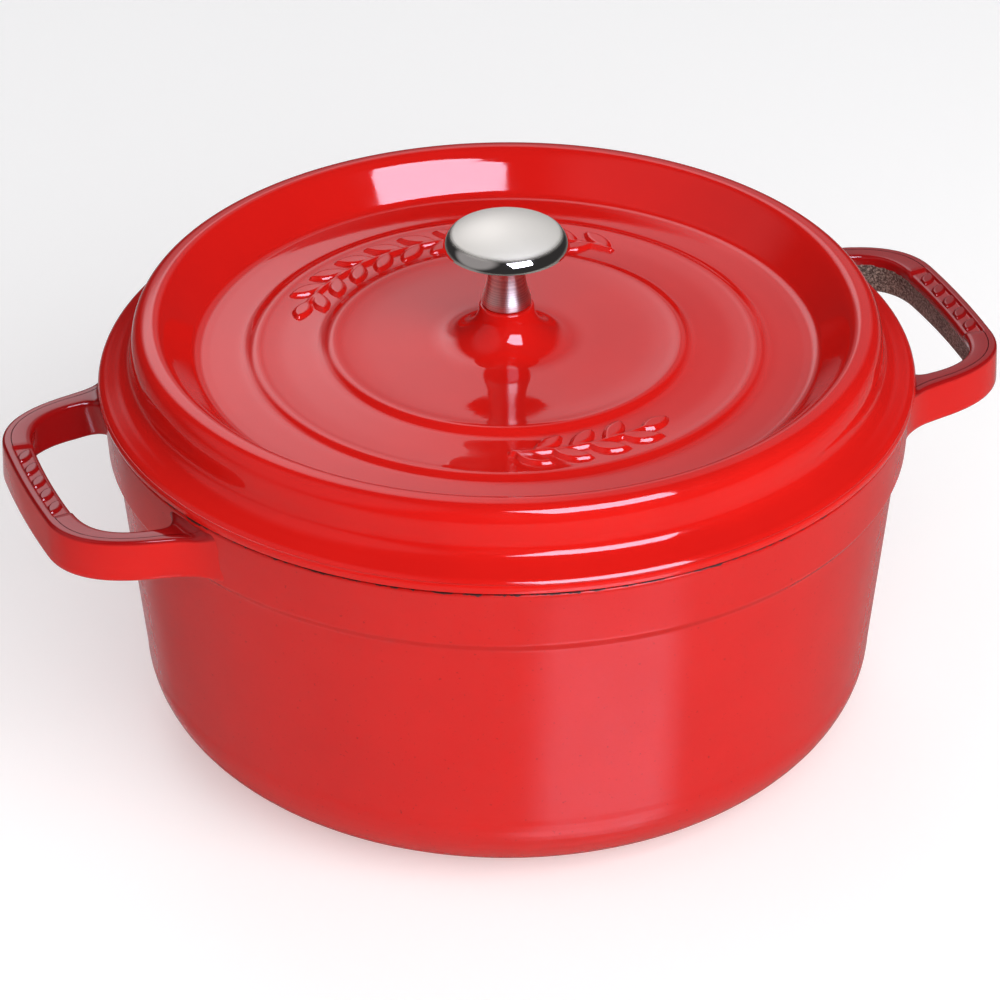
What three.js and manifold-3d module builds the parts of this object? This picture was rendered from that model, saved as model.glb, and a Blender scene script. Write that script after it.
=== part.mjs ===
// A round cast iron dutch oven with a lid, in millimetres, +Z up.
// The origin is the centre of the base, on the surface that the pot stands on.
// The two loop handles lie along X.

import * as THREE from "three";
import { mergeVertices } from "three/addons/utils/BufferGeometryUtils.js";
import Module from "manifold-3d";

const wasm = await Module();
wasm.setup();

// ---------------------------------------------------------------------------
// Driving dimensions
// ---------------------------------------------------------------------------

const GAP = 0.3; // clearance kept between neighbouring solids
const FACETS = 48; // sides of every large round
const KNOB_FACETS = 28; // sides of the knob
const SMALL_FACETS = 20; // sides of the screw and its washers

// Pot casting
const BASE_RADIUS = 83; // flat part of the base
const FOOT_INNER_RADIUS = 68; // the foot is a flat ring outside this radius
const FOOT_HEIGHT = 0.8; // how far the middle of the base stands clear
const BEND_TOP = 31.8; // height where the bottom bend meets the wall
const WALL_LOW_RADIUS = 122.35; // outside of the wall at BEND_TOP
const WALL_HIGH_RADIUS = 129.6; // outside of the wall under the step
const WALL_TOP_RADIUS = 132; // the wall's slope carried on up to the rim
const STEP_LOW = 103; // underside of the step
const STEP_HIGH = 105.4; // where the collar starts
const COLLAR_LOW_RADIUS = 132.8; // outside of the collar at STEP_HIGH
const COLLAR_HIGH_RADIUS = 133.6; // outside of the collar at the rim
const RIM_TOP = 125.6; // top of the rim
const RIM_ROUND = 1.6; // rounding of the rim's outer edge
const IRON_THICKNESS = 3.2; // wall and floor of the casting
const COAT_THICKNESS = 0.5; // black enamel coat
const COAT_TOP = 124; // the pot's coat ends here, under the rim's edge

// Loop handles: places are measured out from the pot's axis and across the handle
const HANDLE_BOTTOM = 106;
const HANDLE_HEIGHT = 15;
const HANDLE_ROUND = 1.8; // rounding of its edges
const HANDLE_ROOT = 108; // both outlines start inside the wall
const HANDLE_OUTSIDE = { rootHalf: 55.8, corner: 165, cornerHalf: 42.8, apex: 167.2, run: 0.44 };
const HANDLE_INSIDE = { rootHalf: 42, corner: 154.6, cornerHalf: 40.2, apex: 157, run: 0.44 };
const PANEL_LENGTH = 45; // sunk panel on top of the grip, open towards the pot
const PANEL_LIP = 2.2; // width of the lip left outside the panel
const PANEL_DEPTH = 0.9;

// Lid casting
const LID_HOLE_RADIUS = 3.4;
const LID_BOTTOM = 126; // underside of the flange, on the rim
const LIP_RADIUS = 135; // outermost edge of the flange
const LOCATING_RADIUS = 126; // outside of the ring that centres the lid in the pot
const LOCATING_BOTTOM = 122.2;
const BOSS_TOP = 153.2; // seat of the knob
const BOSS_TOP_RADIUS = 8.8;
const PAN_RADIUS = 104; // edge of the pan's floor
const OUTER_RING_RADIUS = 82.8; // raised edge of the outer terrace
const INNER_RING_RADIUS = 57.7; // raised edge of the inner terrace
const CREST_TOP = 149.1; // top of the brim around the pan
const FLOOR_UNDERSIDE = 136.5; // underside of the lid around its centre
const RING_UNDERSIDE = 134.3; // underside of the lid below the outer terrace's edge

// Basting spikes under the lid
const SPIKE_RINGS = [
  { radius: 32, count: 6 },
  { radius: 56, count: 12 },
  { radius: 80, count: 18 },
];
const SPIKE_RADIUS = 4.5;
const SPIKE_LENGTH = 4.2;
const SPIKE_ROOT = 0.4; // depth that each spike goes into the coat

// Knob
const KNOB_BOTTOM = BOSS_TOP + GAP;
const KNOB_BASE_RADIUS = 8.25;
const KNOB_NECK_RADIUS = 5.9;
const KNOB_NECK_HEIGHT = 167; // height of the neck's narrowest place
const CAP_RADIUS = 20.7;
const CAP_WIDEST = 175.7; // height of the cap's widest place
const DOME_EDGE_RADIUS = 19.5; // edge of the dome on the cap
const DOME_EDGE_HEIGHT = 178.6;
const KNOB_TOP = 183.2;
const KNOB_BORE_TOP = 167;

// Screw and washers, from the lid down
const SCREW_RADIUS = 2.95;
const SCREW_TOP = 164;
const WASHER_HOLE_RADIUS = 3.3;
const FLAT_WASHER_RADIUS = 7;
const FLAT_WASHER_THICKNESS = 1.2;
const SPRING_WASHER_RADIUS = 5.3;
const SPRING_WASHER_THICKNESS = 1.6;
const SPRING_WASHER_SPLIT = 0.9;
const HEAD_RADIUS = 5.6;
const HEAD_HEIGHT = 3.4;
const RECESS_LENGTH = 6.4; // cross recess in the screw's head
const RECESS_WIDTH = 1.3;
const RECESS_DEPTH = 1.8;

// ---------------------------------------------------------------------------
// Materials
// ---------------------------------------------------------------------------

const RED_ENAMEL = { color: 0xd3150f, roughness: 0.18, metalness: 0 };
const BLACK_ENAMEL = { color: 0x17171a, roughness: 0.55, metalness: 0 };
const SATIN_NICKEL = { color: 0xc9c4b8, roughness: 0.28, metalness: 1 };
const ZINC_STEEL = { color: 0x9a9b9c, roughness: 0.35, metalness: 1 };

// ---------------------------------------------------------------------------
// Helpers
// ---------------------------------------------------------------------------

function point(x, y) {
  return new THREE.Vector2(x, y);
}

// Points of an outline whose corners [x, y, run] are rounded over a run along each side.
function roundedOutline(corners) {
  const path = new THREE.Path();
  const last = corners.length - 1;
  corners.forEach(([x, y, run = 0], index) => {
    const corner = point(x, y);
    if (index === 0) {
      path.moveTo(x, y);
    } else if (run === 0 || index === last) {
      path.lineTo(x, y);
    } else {
      const before = point(...corners[index - 1].slice(0, 2)).sub(corner).setLength(run).add(corner);
      const after = point(...corners[index + 1].slice(0, 2)).sub(corner).setLength(run).add(corner);
      path.lineTo(before.x, before.y);
      path.quadraticCurveTo(x, y, after.x, after.y);
    }
  });
  return path.getPoints(2);
}

// A profile of [radius, height] turned round the Z axis.
function turned(profile, facets) {
  return new THREE.LatheGeometry(profile, facets).rotateX(Math.PI / 2);
}

// A profile that closes on itself, turned round the Z axis.
function turnedRing(profile, facets) {
  return turned([...profile, profile[0].clone()], facets);
}

// An outline moved sideways by a distance, to the left of the way it runs.
function offsetOutline(outline, distance) {
  return outline.map((here, index) => {
    const before = outline[Math.max(index - 1, 0)];
    const after = outline[Math.min(index + 1, outline.length - 1)];
    const arriving = here.clone().sub(before).normalize();
    const leaving = after.clone().sub(here).normalize();
    const along = arriving.add(leaving).normalize();
    const side = index === 0 ? leaving : here.clone().sub(before).normalize();
    const stretch = 1 / Math.max(along.dot(side), 0.5);
    return point(here.x - along.y * distance * stretch, here.y + along.x * distance * stretch);
  });
}

// A closed three.js geometry as a manifold-3d solid.
function solidOf(geometry) {
  const bare = geometry.clone();
  bare.deleteAttribute("normal");
  bare.deleteAttribute("uv");
  const merged = mergeVertices(bare, 1e-4);
  return new wasm.Manifold(
    new wasm.Mesh({
      numProp: 3,
      vertProperties: merged.attributes.position.array,
      triVerts: new Uint32Array(merged.index.array),
    }),
  );
}

// A manifold-3d solid as a three.js geometry.
function geometryOf(solid) {
  const { numVert, numProp, vertProperties, triVerts } = solid.getMesh();
  const positions = new Float32Array(numVert * 3);
  for (let index = 0; index < numVert; index += 1) {
    const start = index * numProp;
    positions.set(vertProperties.subarray(start, start + 3), index * 3);
  }
  const geometry = new THREE.BufferGeometry();
  geometry.setAttribute("position", new THREE.BufferAttribute(positions, 3));
  geometry.setIndex(new THREE.BufferAttribute(triVerts, 1));
  geometry.computeVertexNormals();
  return geometry;
}

function namedMesh(name, geometry, finish) {
  const mesh = new THREE.Mesh(geometry, new THREE.MeshStandardMaterial(finish));
  mesh.name = name;
  return mesh;
}

// ---------------------------------------------------------------------------
// Pot
// ---------------------------------------------------------------------------

// Outside of the pot from the edge of the base to the rim, moved out by a clearance.
function potOutside(clearance = 0) {
  const bend = new THREE.Path()
    .absellipse(BASE_RADIUS, BEND_TOP, WALL_LOW_RADIUS - BASE_RADIUS, BEND_TOP, -Math.PI / 2, 0, false)
    .getPoints(3);
  const wall = roundedOutline([
    [WALL_HIGH_RADIUS, STEP_LOW],
    [COLLAR_LOW_RADIUS, STEP_HIGH],
    [COLLAR_HIGH_RADIUS, RIM_TOP, RIM_ROUND],
    [COLLAR_HIGH_RADIUS - 2 * RIM_ROUND, RIM_TOP],
  ]);
  return [...bend, ...wall].map(({ x, y }) => point(x + clearance, y));
}

// Inside of the pot at a depth below its outside, from the middle of the floor up to a height.
function potInside(depth, top) {
  const bend = new THREE.Path()
    .absellipse(
      BASE_RADIUS,
      BEND_TOP,
      WALL_LOW_RADIUS - BASE_RADIUS - depth,
      BEND_TOP - FOOT_HEIGHT - depth,
      -Math.PI / 2,
      0,
      false,
    )
    .getPoints(3);
  const rise = (top - BEND_TOP) / (RIM_TOP - BEND_TOP);
  const topRadius = THREE.MathUtils.lerp(WALL_LOW_RADIUS, WALL_TOP_RADIUS, rise);
  return [point(0, FOOT_HEIGHT + depth), ...bend, point(topRadius - depth, top)];
}

function potBody() {
  const foot = [
    point(0, FOOT_HEIGHT),
    point(FOOT_INNER_RADIUS - FOOT_HEIGHT, FOOT_HEIGHT),
    point(FOOT_INNER_RADIUS, 0),
  ];
  const inside = potInside(IRON_THICKNESS, RIM_TOP).reverse();
  const profile = [...foot, ...potOutside(), ...inside];
  return namedMesh("pot_body", turned(profile, FACETS), RED_ENAMEL);
}

function potLining() {
  const outside = potInside(IRON_THICKNESS + GAP, COAT_TOP);
  const inside = potInside(IRON_THICKNESS + GAP + COAT_THICKNESS, COAT_TOP).reverse();
  return namedMesh("pot_lining", turned([...outside, ...inside], FACETS), BLACK_ENAMEL);
}

// ---------------------------------------------------------------------------
// Loop handles
// ---------------------------------------------------------------------------

// One edge of the loop, from root to root: two arms, two round corners and a bowed end.
function loopEdge({ rootHalf, corner, cornerHalf, apex, run }) {
  const bowed = (2 * apex - corner * (1 - run)) / (1 + run);
  const armRun = point(corner - HANDLE_ROOT, cornerHalf - rootHalf).multiplyScalar(run);
  const near = point(corner - armRun.x, cornerHalf - armRun.y);
  const far = point(THREE.MathUtils.lerp(corner, bowed, run), cornerHalf * (1 - run));
  const path = new THREE.Path();
  path.moveTo(HANDLE_ROOT, -rootHalf);
  path.lineTo(near.x, -near.y);
  path.quadraticCurveTo(corner, -cornerHalf, far.x, -far.y);
  path.quadraticCurveTo(bowed, 0, far.x, far.y);
  path.quadraticCurveTo(corner, cornerHalf, near.x, near.y);
  path.lineTo(HANDLE_ROOT, rootHalf);
  return path.getPoints(6);
}

// Outline of the sunk panel, which follows the bow of the grip and runs out through its inner side.
function panelOutline() {
  const bow = HANDLE_OUTSIDE.apex - HANDLE_OUTSIDE.corner;
  const side = (reach) =>
    [-1, -0.5, 0, 0.5, 1].map((place) => {
      const across = (place * PANEL_LENGTH) / 2;
      return point(reach - bow * (across / HANDLE_OUTSIDE.cornerHalf) ** 2, across);
    });
  const outer = side(HANDLE_OUTSIDE.apex - PANEL_LIP);
  const inner = side(HANDLE_INSIDE.apex - PANEL_LIP).reverse();
  return [...outer, ...inner];
}

// The loop on the +X side.
function loopSolid() {
  const outline = new THREE.Shape([...loopEdge(HANDLE_OUTSIDE), ...loopEdge(HANDLE_INSIDE).reverse()]);
  const loop = new THREE.ExtrudeGeometry(outline, {
    depth: HANDLE_HEIGHT - 2 * HANDLE_ROUND,
    bevelThickness: HANDLE_ROUND,
    bevelSize: HANDLE_ROUND,
    bevelOffset: -HANDLE_ROUND,
    bevelSegments: 2,
  }).translate(0, 0, HANDLE_BOTTOM + HANDLE_ROUND);
  const panel = new THREE.ExtrudeGeometry(new THREE.Shape(panelOutline()), {
    depth: 2 * PANEL_DEPTH,
    bevelEnabled: false,
  }).translate(0, 0, HANDLE_BOTTOM + HANDLE_HEIGHT - PANEL_DEPTH);
  const potSpace = turned([point(0, 0), ...potOutside(GAP), point(0, RIM_TOP)], FACETS);
  return solidOf(loop).subtract(solidOf(panel)).subtract(solidOf(potSpace));
}

function handles() {
  const loop = geometryOf(loopSolid());
  const right = namedMesh("handle_right", loop, RED_ENAMEL);
  const left = namedMesh("handle_left", loop, RED_ENAMEL);
  left.rotation.z = Math.PI;
  return [left, right];
}

// ---------------------------------------------------------------------------
// Lid
// ---------------------------------------------------------------------------

// Top of the lid from the edge of the screw's hole out to the flange's underside.
function lidTop() {
  return roundedOutline([
    [LID_HOLE_RADIUS, BOSS_TOP],
    [BOSS_TOP_RADIUS, BOSS_TOP],
    [9.6, 148.8],
    [13.4, 141.6, 4],
    [22, 140.4],
    [INNER_RING_RADIUS - 12, 139.8],
    [INNER_RING_RADIUS, 140.45],
    [INNER_RING_RADIUS + 3.6, 139],
    [OUTER_RING_RADIUS - 10, 137.9],
    [OUTER_RING_RADIUS, 138.2],
    [OUTER_RING_RADIUS + 3.6, 137.1],
    [PAN_RADIUS, 136.6],
    [114, 147.6],
    [119, CREST_TOP, 2],
    [123.6, 147.6],
    [125.6, 140.6],
    [127.4, 134.4, 2.2],
    [133.2, 131.6],
    [LIP_RADIUS, 128.6],
    [LIP_RADIUS - 0.8, LID_BOTTOM],
  ]);
}

// Underside of the lid from the locating ring's inner edge in to the screw's hole.
function lidUnderside() {
  return roundedOutline([
    [121.8, LOCATING_BOTTOM + 0.8],
    [121.8, 142.2],
    [119, 145.3],
    [115, 144.9],
    [105, 133.2],
    [OUTER_RING_RADIUS, RING_UNDERSIDE],
    [INNER_RING_RADIUS, 135.7],
    [20, FLOOR_UNDERSIDE],
    [LID_HOLE_RADIUS, FLOOR_UNDERSIDE],
  ]);
}

function lid() {
  const locatingRing = [
    point(LOCATING_RADIUS, LID_BOTTOM),
    point(LOCATING_RADIUS, LOCATING_BOTTOM + 0.8),
    point(LOCATING_RADIUS - 0.8, LOCATING_BOTTOM),
    point(122.4, LOCATING_BOTTOM),
  ];
  const profile = [...lidTop(), ...locatingRing, ...lidUnderside()].reverse();
  return namedMesh("lid", turnedRing(profile, FACETS), RED_ENAMEL);
}

// One basting spike: a blunt cone that points down.
function spike(radius, angle, height) {
  const cone = new THREE.ConeGeometry(SPIKE_RADIUS, SPIKE_LENGTH + SPIKE_ROOT, 6).rotateX(-Math.PI / 2);
  const middle = height + SPIKE_ROOT - (SPIKE_LENGTH + SPIKE_ROOT) / 2;
  return cone.translate(radius * Math.cos(angle), radius * Math.sin(angle), middle);
}

function lidLining() {
  const underside = lidUnderside();
  const upper = offsetOutline(underside, GAP);
  const lower = offsetOutline(underside, GAP + COAT_THICKNESS);
  let coat = solidOf(turnedRing([...upper, ...lower.reverse()], FACETS));
  for (const { radius, count } of SPIKE_RINGS) {
    const inward = (OUTER_RING_RADIUS - radius) / (OUTER_RING_RADIUS - 20);
    const height = THREE.MathUtils.lerp(RING_UNDERSIDE, FLOOR_UNDERSIDE, inward) - GAP - COAT_THICKNESS;
    for (let index = 0; index < count; index += 1) {
      const angle = (2 * Math.PI * (index + 0.5)) / count;
      coat = coat.add(solidOf(spike(radius, angle, height)));
    }
  }
  return namedMesh("lid_lining", geometryOf(coat), BLACK_ENAMEL);
}

// ---------------------------------------------------------------------------
// Knob, screw and washers
// ---------------------------------------------------------------------------

function knob() {
  const bore = [
    point(0, KNOB_BORE_TOP),
    point(WASHER_HOLE_RADIUS, KNOB_BORE_TOP),
    point(WASHER_HOLE_RADIUS, KNOB_BOTTOM),
    point(KNOB_BASE_RADIUS, KNOB_BOTTOM),
  ];
  const neck = new THREE.SplineCurve([
    point(KNOB_BASE_RADIUS, KNOB_BOTTOM + 0.6),
    point(7.2, 158.6),
    point(KNOB_NECK_RADIUS, KNOB_NECK_HEIGHT),
    point(7.4, 171.6),
    point(12.4, 173.4),
    point(CAP_RADIUS - 1.2, CAP_WIDEST - 1.2),
  ]).getPoints(12);
  const domeRise = KNOB_TOP - DOME_EDGE_HEIGHT;
  const domeRadius = (DOME_EDGE_RADIUS ** 2 + domeRise ** 2) / (2 * domeRise);
  const domeAngle = Math.asin(DOME_EDGE_RADIUS / domeRadius);
  const dome = new THREE.Path()
    .absarc(0, KNOB_TOP - domeRadius, domeRadius, Math.PI / 2 - domeAngle, Math.PI / 2, false)
    .getPoints(4);
  const profile = [...bore, ...neck, point(CAP_RADIUS, CAP_WIDEST), ...dome];
  profile[profile.length - 1].x = 0;
  return namedMesh("knob", turned(profile, KNOB_FACETS), SATIN_NICKEL);
}

// A flat ring round the Z axis.
function flatRing(innerRadius, outerRadius, bottom, thickness) {
  const profile = [
    point(innerRadius, bottom),
    point(outerRadius, bottom),
    point(outerRadius, bottom + thickness),
    point(innerRadius, bottom + thickness),
  ];
  return turnedRing(profile, SMALL_FACETS);
}

const flatWasherBottom = FLOOR_UNDERSIDE - GAP - COAT_THICKNESS - GAP - FLAT_WASHER_THICKNESS;
const springWasherBottom = flatWasherBottom - GAP - SPRING_WASHER_THICKNESS;
const headTop = springWasherBottom - GAP;

function flatWasher() {
  const ring = flatRing(WASHER_HOLE_RADIUS, FLAT_WASHER_RADIUS, flatWasherBottom, FLAT_WASHER_THICKNESS);
  return namedMesh("knob_flat_washer", ring, ZINC_STEEL);
}

// The spring washer is split on a slant.
function springWasher() {
  const ring = flatRing(
    WASHER_HOLE_RADIUS,
    SPRING_WASHER_RADIUS,
    springWasherBottom,
    SPRING_WASHER_THICKNESS,
  );
  const split = new THREE.BoxGeometry(2 * SPRING_WASHER_RADIUS, SPRING_WASHER_SPLIT, 10)
    .rotateX(Math.PI / 6)
    .translate(1.5 * SPRING_WASHER_RADIUS, 0, springWasherBottom + SPRING_WASHER_THICKNESS / 2);
  return namedMesh("knob_spring_washer", geometryOf(solidOf(ring).subtract(solidOf(split))), ZINC_STEEL);
}

function screw() {
  const headBottom = headTop - HEAD_HEIGHT;
  const profile = [
    point(0, headBottom),
    point(3.4, headBottom + 0.35),
    point(HEAD_RADIUS - 0.6, headBottom + 1.4),
    point(HEAD_RADIUS, headTop - 0.9),
    point(HEAD_RADIUS, headTop),
    point(SCREW_RADIUS, headTop),
    point(SCREW_RADIUS, SCREW_TOP - 1),
    point(SCREW_RADIUS - 1, SCREW_TOP),
    point(0, SCREW_TOP),
  ];
  let solid = solidOf(turned(profile, SMALL_FACETS));
  for (const angle of [0, Math.PI / 2]) {
    const slot = new THREE.BoxGeometry(RECESS_LENGTH, RECESS_WIDTH, 2 * RECESS_DEPTH)
      .rotateZ(angle)
      .translate(0, 0, headBottom);
    solid = solid.subtract(solidOf(slot));
  }
  return namedMesh("knob_screw", geometryOf(solid), ZINC_STEEL);
}

// ---------------------------------------------------------------------------
// Assembly
// ---------------------------------------------------------------------------

const pot = new THREE.Group();
pot.add(potBody(), potLining(), ...handles());

const cover = new THREE.Group();
cover.add(lid(), lidLining(), screw(), flatWasher(), springWasher());

const dutchOven = new THREE.Group();
dutchOven.add(pot, cover, knob());

export default dutchOven;
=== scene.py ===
import math

import bpy
import numpy as np
from mathutils import Matrix, Vector


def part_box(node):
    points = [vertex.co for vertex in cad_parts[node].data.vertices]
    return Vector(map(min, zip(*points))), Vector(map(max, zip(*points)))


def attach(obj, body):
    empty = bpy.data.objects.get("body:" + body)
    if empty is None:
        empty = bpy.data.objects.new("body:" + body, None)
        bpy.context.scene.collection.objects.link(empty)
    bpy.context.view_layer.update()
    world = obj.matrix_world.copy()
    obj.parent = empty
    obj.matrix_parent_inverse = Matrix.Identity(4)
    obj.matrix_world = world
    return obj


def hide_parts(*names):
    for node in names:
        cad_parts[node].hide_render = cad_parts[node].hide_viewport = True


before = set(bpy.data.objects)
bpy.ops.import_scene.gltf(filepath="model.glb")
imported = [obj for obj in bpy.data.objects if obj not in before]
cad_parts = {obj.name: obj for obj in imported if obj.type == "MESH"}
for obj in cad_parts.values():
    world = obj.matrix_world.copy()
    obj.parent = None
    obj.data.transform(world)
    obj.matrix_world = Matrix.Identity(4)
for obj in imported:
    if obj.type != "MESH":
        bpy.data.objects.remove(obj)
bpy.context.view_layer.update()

# A round cast iron dutch oven. Sizes below are in millimetres, heights are above the surface
# that the pot stands on, and radii are measured from the pot's axis.

MM = 0.001


def reach(node, axis):
    """How far a CAD node reaches along an axis, in millimetres."""
    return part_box(node)[1][axis] / MM


def foot(node):
    """The lowest height of a CAD node, in millimetres."""
    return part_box(node)[0][2] / MM


# ---------------------------------------------------------------------------
# Sizes
# ---------------------------------------------------------------------------

SIDES = 288  # sides of the large rounds
KNOB_SIDES = 96
SMALL_SIDES = 64

COLLAR_RADIUS = reach("pot_body", 1)
RIM_TOP = reach("pot_body", 2)
HANDLE_TOP = reach("handle_right", 2)
HANDLE_BOTTOM = foot("handle_right")
HANDLE_END = reach("handle_right", 0)
LIP_RADIUS = reach("lid", 1)
BOSS_TOP = reach("lid", 2)
LOCATING_BOTTOM = foot("lid")
KNOB_BOTTOM = foot("knob")
KNOB_TOP = reach("knob", 2)
CAP_RADIUS = reach("knob", 1)

BASE_RADIUS = 83
FOOT_INNER_RADIUS = 68
FOOT_HEIGHT = 0.8
BEND_TOP = 31.8
WALL_LOW_RADIUS = 122.35
WALL_HIGH_RADIUS = 129.6
STEP_LOW = 102.1
STEP_HIGH = 105.6
STEP_RADIUS = COLLAR_RADIUS - 1.3
IRON = 3.2  # thickness of the casting
COAT = 0.8  # black enamel that stands proud of the iron
INNER_TOP_RADIUS = 128.8

LID_BOTTOM = RIM_TOP + 0.4
LOCATING_RADIUS = 126
HOLE_RADIUS = 3.4
INNER_RING = 57.7  # raised edge of the inner terrace on the lid
OUTER_RING = 82.8


# ---------------------------------------------------------------------------
# Outlines
# ---------------------------------------------------------------------------


def rounded(corners, steps=8):
    """Points of an outline whose corners (x, y, run) are rounded over a run along each side."""
    points = [Vector(corners[0][:2])]
    for before, corner, after in zip(corners, corners[1:], corners[2:]):
        here = Vector(corner[:2])
        run = corner[2] if len(corner) > 2 else 0
        if run == 0:
            points.append(here)
            continue
        start = here + (Vector(before[:2]) - here).normalized() * run
        end = here + (Vector(after[:2]) - here).normalized() * run
        for step in range(steps + 1):
            t = step / steps
            points.append(start * (1 - t) ** 2 + here * 2 * t * (1 - t) + end * t * t)
    points.append(Vector(corners[-1][:2]))
    return points


def smooth(knots, steps=6):
    """Points of a curve that runs smoothly through its knots."""
    knots = [Vector(knot) for knot in knots]
    padded = [knots[0] * 2 - knots[1], *knots, knots[-1] * 2 - knots[-2]]
    points = []
    for a, b, c, d in zip(padded, padded[1:], padded[2:], padded[3:]):
        for step in range(steps):
            t = step / steps
            points.append(
                b
                + (c - a) * (t / 2)
                + (a * 2 - b * 5 + c * 4 - d) * (t * t / 2)
                + (b * 3 - a - c * 3 + d) * (t**3 / 2)
            )
    return [*points, knots[-1]]


def steadied(points, margin=0.25, longest=3.0):
    """The same outline with more points on its straight runs, which keep the shading true near a curve."""
    filled = [points[0]]
    for here, there in zip(points, points[1:]):
        length = (there - here).length
        if length < 1e-6:
            continue
        if length > 4 * margin:
            along = (there - here) / length
            filled.append(here + along * margin)
            inner = max(1, math.ceil((length - 2 * margin) / longest))
            for step in range(1, inner):
                filled.append(here + along * (margin + (length - 2 * margin) * step / inner))
            filled.append(there - along * margin)
        filled.append(there)
    return filled


# ---------------------------------------------------------------------------
# Meshes
# ---------------------------------------------------------------------------


def add_piece(name, vertices, faces, body, material, replaces=()):
    """A smooth shaded mesh, given in millimetres, that rides on a body."""
    mesh = bpy.data.meshes.new(name)
    mesh.from_pydata([tuple(c * MM for c in v) for v in vertices], [], faces)
    mesh.materials.append(material)
    mesh.polygons.foreach_set("use_smooth", [True] * len(mesh.polygons))
    mesh.validate()
    mesh.update()
    piece = bpy.data.objects.new(name, mesh)
    bpy.context.scene.collection.objects.link(piece)
    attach(piece, body)
    if replaces:
        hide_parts(*replaces)
    return piece


def turned(profile, sides, closed=False, centre=(0, 0), start=0):
    """Vertices and faces of a profile of (radius, height) turned round the Z axis.

    The profile runs with the outside of the material on its right.
    """
    vertices = []
    rows = []
    for radius, height in profile:
        row_start = start + len(vertices)
        if radius < 1e-6:
            vertices.append((centre[0], centre[1], height))
            rows.append([row_start] * sides)
            continue
        for side in range(sides):
            angle = 2 * math.pi * side / sides
            x = centre[0] + radius * math.cos(angle)
            y = centre[1] + radius * math.sin(angle)
            vertices.append((x, y, height))
        rows.append(list(range(row_start, row_start + sides)))
    faces = []
    pairs = list(zip(rows, rows[1:]))
    if closed:
        pairs.append((rows[-1], rows[0]))
    for lower, upper in pairs:
        for side in range(sides):
            after = (side + 1) % sides
            corners = [lower[side], lower[after], upper[after], upper[side]]
            faces.append(tuple(dict.fromkeys(corners)))
    return vertices, faces


def turned_piece(name, profile, sides, body, material, replaces=(), closed=False):
    vertices, faces = turned(profile, sides, closed)
    return add_piece(name, vertices, faces, body, material, replaces)


def crease(piece, degrees):
    """Keeps edges sharper than an angle crisp."""
    piece.data.set_sharp_from_angle(angle=math.radians(degrees))


# ---------------------------------------------------------------------------
# Materials
# ---------------------------------------------------------------------------


class Shader:
    """A node material under construction, with coordinates in metres on the piece itself."""

    def __init__(self, name):
        self.material = bpy.data.materials.new(name)
        self.material.use_nodes = True
        self.tree = self.material.node_tree
        self.principled = self.tree.nodes["Principled BSDF"]
        self.place = self.add("ShaderNodeTexCoord").outputs["Object"]

    def add(self, kind, **settings):
        node = self.tree.nodes.new(kind)
        for key, value in settings.items():
            setattr(node, key, value)
        return node

    def link(self, source, target):
        self.tree.links.new(source, target)

    def set(self, **sockets):
        for key, value in sockets.items():
            self.principled.inputs[key.replace("_", " ")].default_value = value

    def noise(self, period, detail=2.0, roughness=0.5):
        """Noise from 0 to 1 with a period in millimetres."""
        node = self.add("ShaderNodeTexNoise")
        node.inputs["Scale"].default_value = 1 / (period * MM)
        node.inputs["Detail"].default_value = detail
        node.inputs["Roughness"].default_value = roughness
        self.link(self.place, node.inputs["Vector"])
        return node.outputs["Fac"]

    def ranged(self, value, low, high, to_low, to_high):
        """Maps the range from low to high onto another, smooth inside it and level outside it."""
        node = self.add("ShaderNodeMapRange", interpolation_type="SMOOTHSTEP")
        limits = {"From Min": low, "From Max": high, "To Min": to_low, "To Max": to_high}
        for key, number in limits.items():
            node.inputs[key].default_value = number
        self.link(value, node.inputs["Value"])
        return node.outputs["Result"]

    def math(self, operation, *values):
        node = self.add("ShaderNodeMath", operation=operation)
        for socket, value in zip(node.inputs, values):
            if isinstance(value, (int, float)):
                socket.default_value = value
            else:
                self.link(value, socket)
        return node.outputs["Value"]

    def mixed(self, amount, first, second):
        node = self.add("ShaderNodeMix", data_type="RGBA")
        self.link(amount, node.inputs["Factor"])
        for key, colour in (("A", first), ("B", second)):
            socket = next(s for s in node.inputs if s.name == key and s.type == "RGBA")
            if isinstance(colour, tuple):
                socket.default_value = (*colour, 1)
            else:
                self.link(colour, socket)
        return next(s for s in node.outputs if s.type == "RGBA")

    def blended(self, amount, first, second):
        node = self.add("ShaderNodeMix", data_type="FLOAT")
        self.link(amount, node.inputs["Factor"])
        self.link(first, node.inputs["A"])
        self.link(second, node.inputs["B"])
        return node.outputs["Result"]

    def bump(self, layers):
        """Stacks bumps at full strength, each a (height, depth in millimetres)."""
        normal = None
        for height, depth in layers:
            node = self.add("ShaderNodeBump")
            node.inputs["Distance"].default_value = depth * MM
            node.inputs["Strength"].default_value = 1.0
            self.link(height, node.inputs["Height"])
            if normal is not None:
                self.link(normal, node.inputs["Normal"])
            normal = node.outputs["Normal"]
        self.link(normal, self.principled.inputs["Normal"])

    def colour(self, value):
        self.link(value, self.principled.inputs["Base Color"])

    def roughness(self, value):
        self.link(value, self.principled.inputs["Roughness"])

    def height(self):
        node = self.add("ShaderNodeSeparateXYZ")
        self.link(self.place, node.inputs["Vector"])
        return node.outputs["Z"]


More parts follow.
